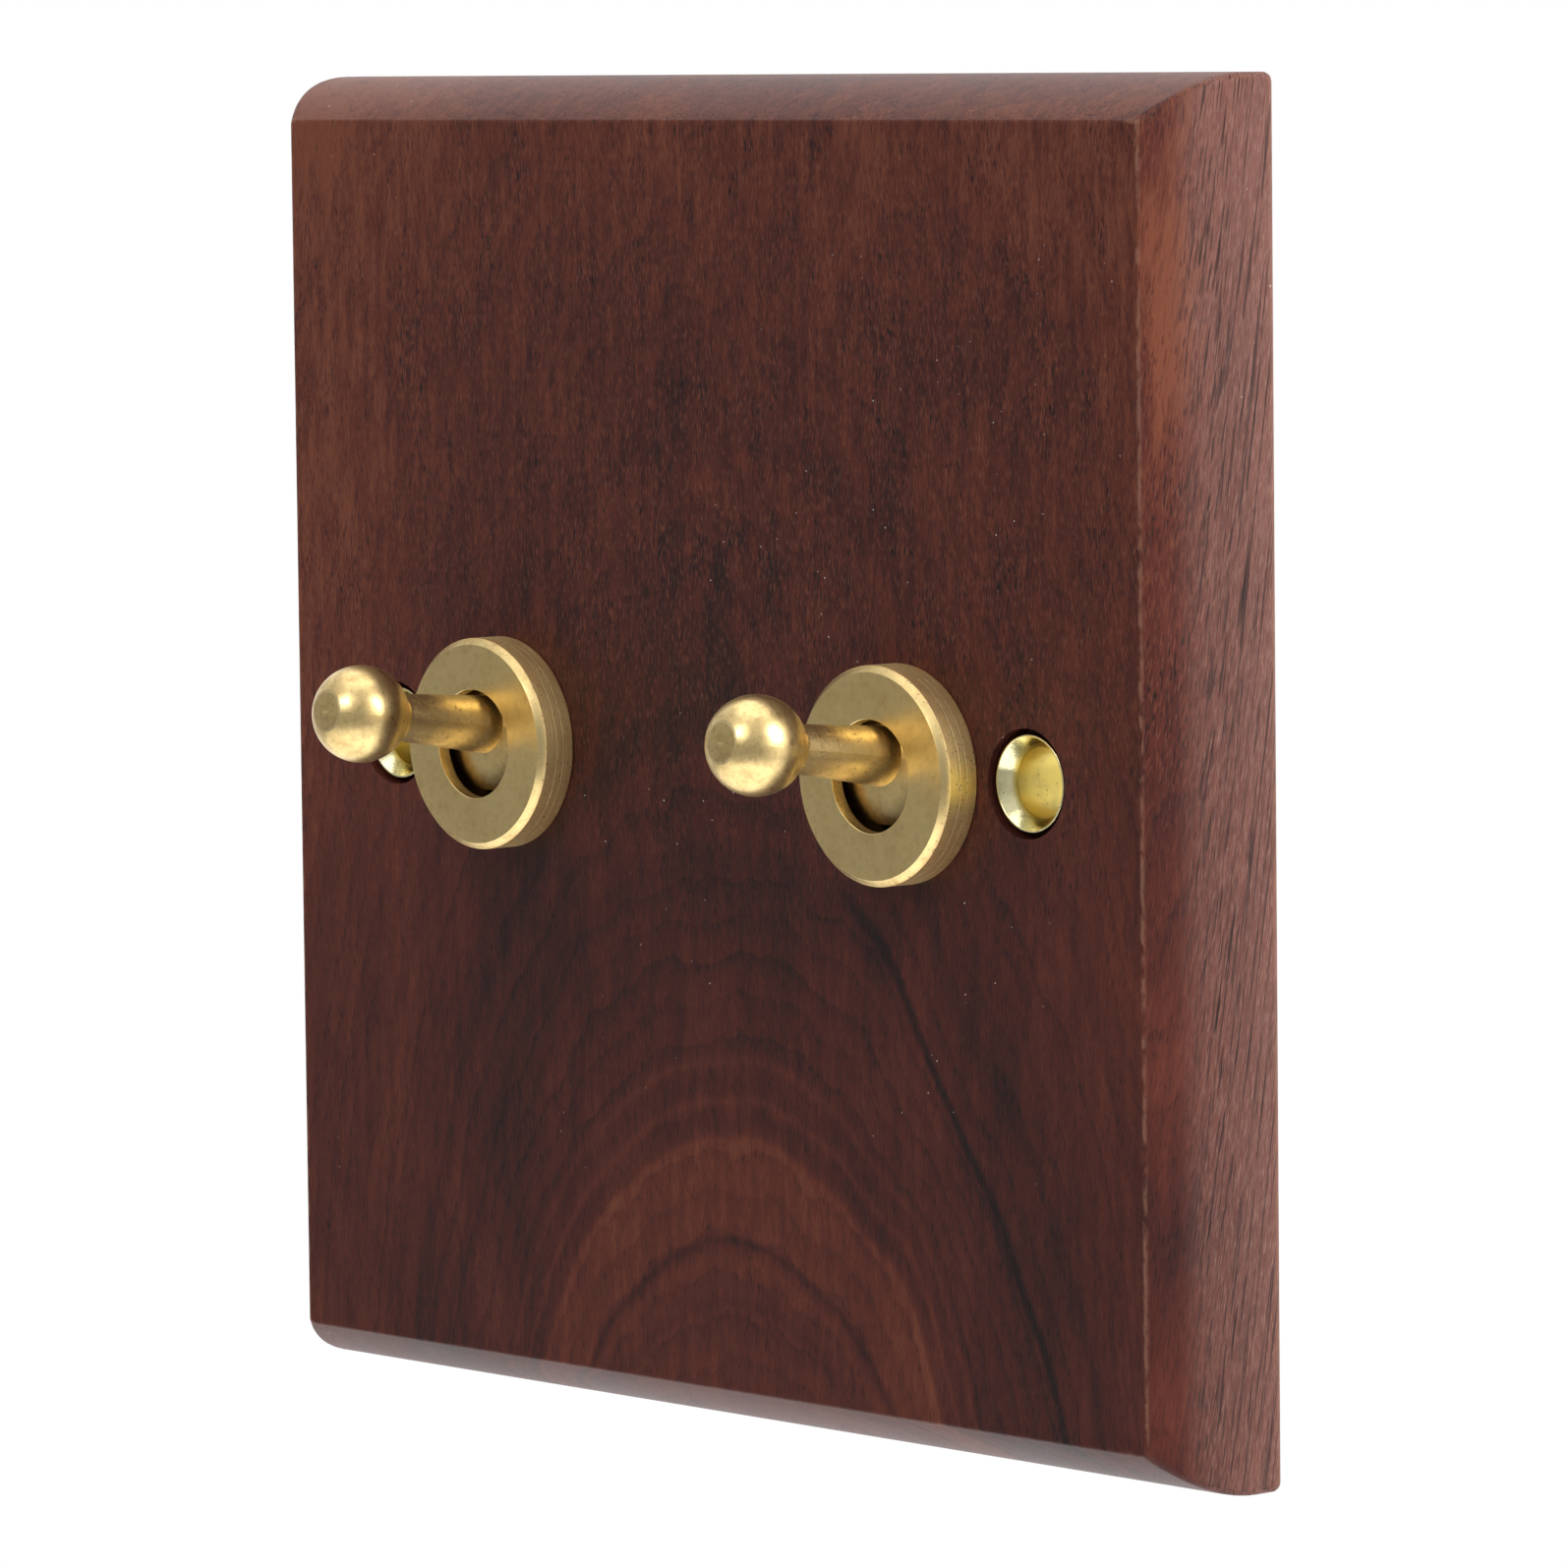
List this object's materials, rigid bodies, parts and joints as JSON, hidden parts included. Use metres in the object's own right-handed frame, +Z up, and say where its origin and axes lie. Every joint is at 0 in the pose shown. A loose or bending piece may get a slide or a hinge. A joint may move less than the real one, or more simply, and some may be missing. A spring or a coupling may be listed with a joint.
{
  "type": "toggle light switch",
  "caption": "Square wooden wall plate with a bevelled edge and brass toggle levers in turned brass rings, with their switch mechanisms behind.",
  "frame": {"origin": "centre of the plate's back face, on the wall's surface", "axes": "+Y into the wall, +Z up, +X to the right as seen from the room"},
  "size_m": [0.086, 0.0424, 0.086],
  "materials": {
    "walnut": "satin oiled dark walnut",
    "satin_brass": "satin turned brass",
    "bright_brass": "polished brass",
    "plated_steel": "zinc plated steel",
    "spring_steel": "drawn steel wire",
    "silver_contact": "silver alloy",
    "dark_moulding": "moulded thermoset"
  },
  "bodies": {
    "housing": {"wood_plate": "walnut", "back_plate": "plated_steel", "plate_screws": "plated_steel", "screw_cup_left": "bright_brass", "screw_cup_right": "bright_brass", "earth_screw": "bright_brass", "earth_washer": "bright_brass", "dress_ring_left": "satin_brass", "bush_left": "satin_brass", "lock_washer_left": "plated_steel", "back_nut_left": "plated_steel", "pivot_pin_left": "plated_steel", "switch_frame_left": "plated_steel", "switch_base_left": "dark_moulding", "common_terminal_left": "bright_brass", "upper_terminal_left": "bright_brass", "lower_terminal_left": "bright_brass", "fixed_contacts_left": "silver_contact", "terminal_screws_left": "plated_steel", "dress_ring_right": "satin_brass", "bush_right": "satin_brass", "lock_washer_right": "plated_steel", "back_nut_right": "plated_steel", "pivot_pin_right": "plated_steel", "switch_frame_right": "plated_steel", "switch_base_right": "dark_moulding", "common_terminal_right": "bright_brass", "upper_terminal_right": "bright_brass", "lower_terminal_right": "bright_brass", "fixed_contacts_right": "silver_contact", "terminal_screws_right": "plated_steel"},
    "lever_left": {"lever_left": "satin_brass", "plunger_spring_left": "spring_steel"},
    "plunger_left": {"plunger_left": "bright_brass"},
    "seesaw_left": {"seesaw_left": "bright_brass", "moving_contacts_left": "silver_contact"},
    "lever_right": {"lever_right": "satin_brass", "plunger_spring_right": "spring_steel"},
    "plunger_right": {"plunger_right": "bright_brass"},
    "seesaw_right": {"seesaw_right": "bright_brass", "moving_contacts_right": "silver_contact"}
  },
  "joints": [
    {"name": "lever_left_toggle", "type": "hinge", "parent": "housing", "child": "lever_left", "pos_m": [-0.019, -0.0012, 0], "axis": [1, 0, 0], "range_deg": [0, 14.5]},
    {"name": "plunger_left_slide", "type": "slide", "parent": "lever_left", "child": "plunger_left", "axis": [0, -0.992, 0.1262], "range_m": [0, 0.0008], "stiffness_N_per_m": 300, "springref_m": -0.002, "deforming": ["plunger_spring_left"]},
    {"name": "seesaw_left_rock", "type": "hinge", "parent": "housing", "child": "seesaw_left", "pos_m": [-0.019, 0.00945, 0], "axis": [1, 0, 0], "range_deg": [-14, 0]},
    {"name": "lever_right_toggle", "type": "hinge", "parent": "housing", "child": "lever_right", "pos_m": [0.019, -0.0012, 0], "axis": [1, 0, 0], "range_deg": [0, 14.5]},
    {"name": "plunger_right_slide", "type": "slide", "parent": "lever_right", "child": "plunger_right", "axis": [0, -0.992, 0.1262], "range_m": [0, 0.0008], "stiffness_N_per_m": 300, "springref_m": -0.002, "deforming": ["plunger_spring_right"]},
    {"name": "seesaw_right_rock", "type": "hinge", "parent": "housing", "child": "seesaw_right", "pos_m": [0.019, 0.00945, 0], "axis": [1, 0, 0], "range_deg": [-14, 0]}
  ],
  "couplings": [
    {"joint": "seesaw_left_rock", "follows": "lever_left_toggle", "ratio": -0.96552},
    {"joint": "seesaw_right_rock", "follows": "lever_right_toggle", "ratio": -0.96552}
  ]
}
